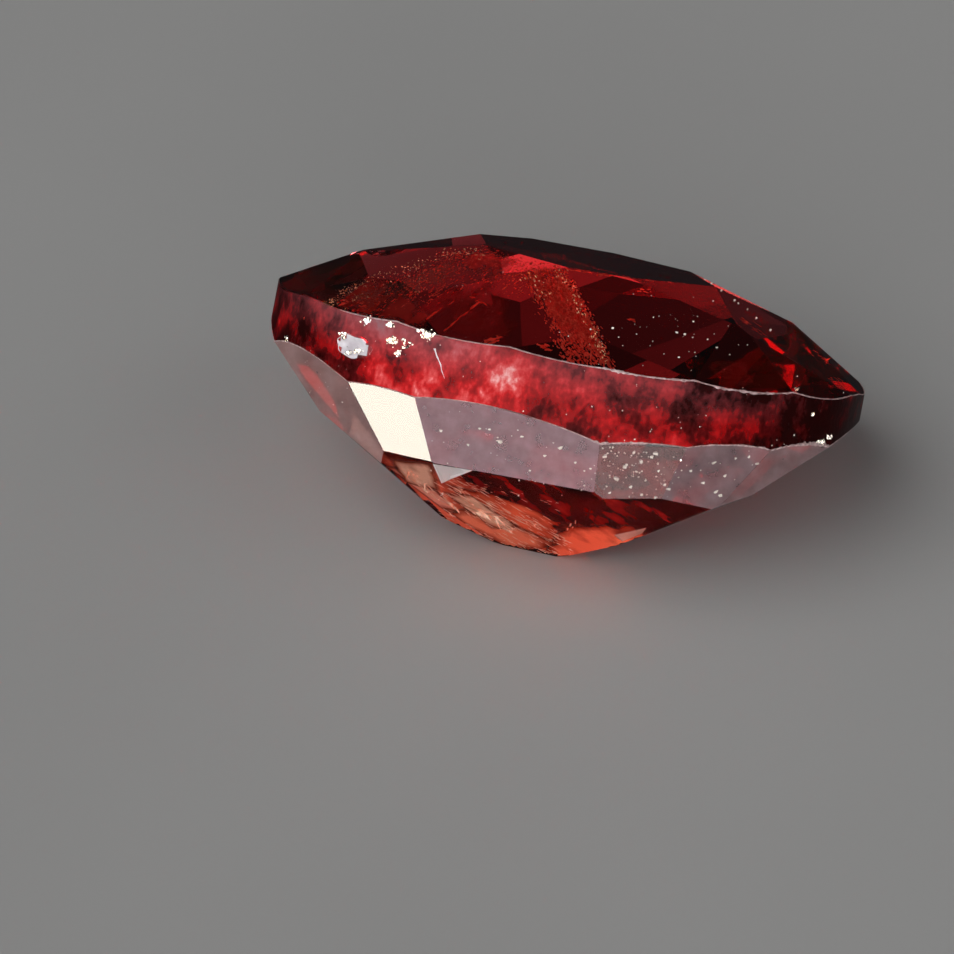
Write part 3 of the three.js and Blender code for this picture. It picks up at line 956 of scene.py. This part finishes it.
def grains(name, drifts, material, seed, glinting):
    """Long lozenges inside the stone. A grain starts at a random share of its drift's line, lies off it
    by the fall times a random share to the power 1.6 and by a normal step, and is drawn out along the
    course as it shows on the sheet. Glinting grains face halfway between the camera and the big box.
    A grain whose ends would leave the stone is left out."""
    shapes, faces, start = [], [], 0
    for number, (line, spread, course, count, depths, widths, drawn, *fall) in enumerate(drifts):
        rng = np.random.default_rng(seed + number)
        places = on_line(line, rng.uniform(0, 1, count))
        places = places + rng.uniform(0, 1, (count, 1)) ** 1.6 * np.array(fall).sum(0)
        places = places + rng.normal(0, spread, (count, 2))
        depth = rng.uniform(*depths, count)
        centres, back, light = seen_inside(places, depth)
        along = seen_inside(places + np.array(course) / np.hypot(*course), depth)[0] - centres
        step = np.linalg.norm(along, axis=1)
        normals = back + light * glinting + rng.normal(0, 0.3, back.shape)
        normals /= np.linalg.norm(normals, axis=1)[:, None]
        sizes = rng.uniform(*widths, count) / STEPS_PER_MM
        longer = rng.uniform(*drawn, count)
        end = along * (sizes * longer / step)[:, None]
        kept = inside(centres + end, INNER_MARGIN) & inside(centres - end, INNER_MARGIN)
        kept &= step < LONGEST_STEP
        grain, corners = flakes(centres[kept], normals[kept], sizes[kept], seed + number, 0.15,
                                longer[kept], along[kept])
        shapes.append(grain)
        faces.append(corners + start)
        start += len(grain)
    new_piece(name, np.concatenate(shapes), np.concatenate(faces), material)


GOLD = pale_material("golden grains", (1.0, 0.35, 0.12), (1.0, 0.8, 0.5), 0.3, 9000.0, 1.0)
# Red grains, some of which paint red glints
RED_GRAINS_AND_GLINTS = pale_material("red grains and painted glints", (0.85, 0.03, 0.015), (1.0, 0.12, 0.07), 0.6, 9000.0, 0.0, 0.0)
# Peach streaks that paint the keel's glow
PEACH_GLOW = pale_material("keel glow streaks", (1.0, 0.35, 0.2), (1.0, 0.78, 0.6), 0.6, 9000.0, 0.0, 0.0)
grains("golden_grains", GOLD_DRIFTS, GOLD, 40, 1.0)
grains("red_grains_and_glints", RED_DRIFTS_AND_GLINTS, RED_GRAINS_AND_GLINTS, 60, 0.0)
grains("keel_glow_streaks", KEEL_GLOW_STREAKS, PEACH_GLOW, 90, 0.0)


# The crack in the girdle, on the sheet
CRACK = [(435, 349), (437, 356), (441, 365), (442, 371), (445, 379)]
CRACK_HALF_WIDTH = 1.1


def crack():
    """A narrow strip on the girdle along a broken line, tapering to its lower end, with ragged sides."""
    steps = 40
    share = np.linspace(0, 1, steps)
    middle = on_line(CRACK, share)
    half = CRACK_HALF_WIDTH * (1 - 0.85 * share) * ragged(share, 77, 20, 0.5, 1.2)
    aside = np.stack([half, 0 * half], -1)
    places = np.stack([middle - aside, middle + aside])
    points, _ = on_front(places.reshape(-1, 2), CRACK_LIFT)
    new_piece("crack", points, grid_faces(2, steps, False)[:, ::-1], SHELL)


crack()


# Floor, light and camera

def floor_material():
    """A pale matt floor with a faint unevenness. The stone's clear and glossy rays go through it, so
    that the stone is lit from below as on a light table."""
    material, tree, shader, output = new_material("floor")
    cloud = place_group(tree, GRAIN, Scale=60.0, Deep=(0.29, 0.29, 0.286, 1), Bright=(0.32, 0.32, 0.316, 1))
    feed(tree, shader, {"Base Color": cloud.outputs["Color"], "Roughness": 0.7})
    ray = add_node(tree, "LightPath")
    through = calculate(tree, "MAXIMUM", ray.outputs["Is Glossy Ray"], ray.outputs["Is Transmission Ray"])
    clear = add_node(tree, "BsdfTransparent")
    mix = add_node(tree, "MixShader", {"Fac": through, 1: shader.outputs["BSDF"], 2: clear.outputs["BSDF"]})
    feed(tree, output, {"Surface": mix.outputs["Shader"]})
    return material


def lay_floor():
    """A wide flat plate under the stone."""
    mesh = bpy.data.meshes.new("floor")
    half = 0.5
    corners = [(-half, -half, 0), (half, -half, 0), (half, half, 0), (-half, half, 0)]
    mesh.from_pydata(corners, [], [(0, 1, 2, 3)])
    floor = add_object("floor", mesh, floor_material())


# The lights: direction from the stone, half-angles of the even part and of the soft border in degrees,
# and radiance, times a colour where it is not plain white. Those with a height below zero lie under the
# floor, as lamps of a light table.
CREAM, WARM, VIOLET = np.array([(1.0, 0.94, 0.8), (1.0, 0.93, 0.8), (1.0, 0.93, 1.0)])
LIGHTS = [
    # the big soft box overhead, a weaker one across from it, and a wide low one in front
    (BIG_BOX, 14, 34, 3.4),
    ((0.55, -0.45, 0.70), 10, 30, 1.0),
    ((-0.10, -0.97, 0.12), 14, 38, 1.8),
    # a strong lamp under the floor for the clouds in the keel, where neither the crown nor the near
    # facets show it
    ((0.52, -0.57, -0.64), 10, 20, 850.0),
    # what the near pavilion facets throw back, from the left to the right
    ((-0.39, 0.45, -0.80), 4, 9, 0.12 * WARM),
    ((-0.58, -0.10, -0.81), 5, 12, 8.6 * CREAM),
    ((-0.36, -0.39, -0.85), 6, 10, 2.2 * VIOLET),
    ((0.09, -0.44, -0.90), 5, 8, 1.3),
    ((0.27, -0.26, -0.93), 4, 7, 0.3 * VIOLET),
    # what shines up through the crown
    ((0.03, 0.50, -0.87), 6, 15, 0.33),
    ((-0.10, 0.68, -0.73), 4, 10, 0.11),
    ((0.16, 0.70, -0.70), 4, 9, 0.04),
    ((0.38, 0.40, -0.84), 6, 15, 0.19),
    ((0.36, 0.68, -0.64), 5, 12, 0.09),
    ((-0.27, 0.66, -0.70), 5, 12, 0.03),
    ((-0.70, 0.34, -0.63), 6, 14, 0.08),
    ((0.67, 0.10, -0.74), 5, 12, 0.16),
    # small lamps for the flecks inside
    ((-0.05, 0.33, -0.94), 2, 4, 1.2),
    ((0.33, 0.11, -0.94), 3, 5, 0.15),
    ((-0.31, 0.45, -0.84), 1, 3, 2.0),
    ((0.50, 0.59, -0.63), 1, 4, 1.4),
    ((0.77, 0.56, -0.31), 1, 4, 6.0),
    ((-0.74, 0.00, 0.67), 1, 4, 3.0),
]
# What shines between the lights
DIM_LIGHT = (0.014, 0.012, 0.013)
# How often a ray of light may turn before it is dropped
BOUNCES = {"max_bounces": 24, "transmission_bounces": 24, "glossy_bounces": 12,
           "transparent_max_bounces": 24}


def set_light():
    """A dark world whose radiance is a function of direction: each light adds its own where the cosine
    of the angle between the ray and its direction is high, fading out between its two half-angles."""
    world = bpy.data.worlds.new("lights")
    world.use_nodes = True
    tree = world.node_tree
    ray = add_node(tree, "TexCoord")
    total = (*DIM_LIGHT, 1)
    for direction, even, border, radiance in LIGHTS:
        angle = add_node(tree, "VectorMath", {
            0: ray.outputs["Generated"], 1: Vector(direction).normalized()}, operation="DOT_PRODUCT")
        fade = add_node(tree, "MapRange", {
            "Value": angle.outputs["Value"],
            "From Min": math.cos(math.radians(border)),
            "From Max": math.cos(math.radians(even)),
        }, interpolation_type="SMOOTHSTEP")
        glow = (*(radiance * np.ones(3)), 1)
        total = mix_colours(tree, fade.outputs["Result"], total, glow, "ADD")
    feed(tree, tree.nodes["Background"], {"Color": total})
    bpy.context.scene.world = world


def set_camera():
    """A long lens at the picture's height angle and roll, looking along +Y and down."""
    camera = bpy.data.cameras.new("camera")
    camera.sensor_width = 36.0
    camera.lens = camera.sensor_width * CAMERA_DISTANCE * STEPS_PER_MM / SHEET_SIZE
    camera.clip_start = 0.01
    camera.clip_end = 5.0
    eye = bpy.data.objects.new("camera", camera)
    place = np.eye(4)
    place[:3, :3] = np.stack([CAMERA_RIGHT, CAMERA_UP, CAMERA_BACK], -1)
    place[:3, 3] = (LOOK_AT + CAMERA_BACK * CAMERA_DISTANCE) * MM
    eye.matrix_world = Matrix(place.tolist())
    bpy.context.scene.collection.objects.link(eye)
    bpy.context.scene.camera = eye


lay_floor()
set_light()
set_camera()
bpy.context.scene.view_settings.view_transform = "Standard"
for kind, bounces in BOUNCES.items():
    setattr(bpy.context.scene.cycles, kind, bounces)
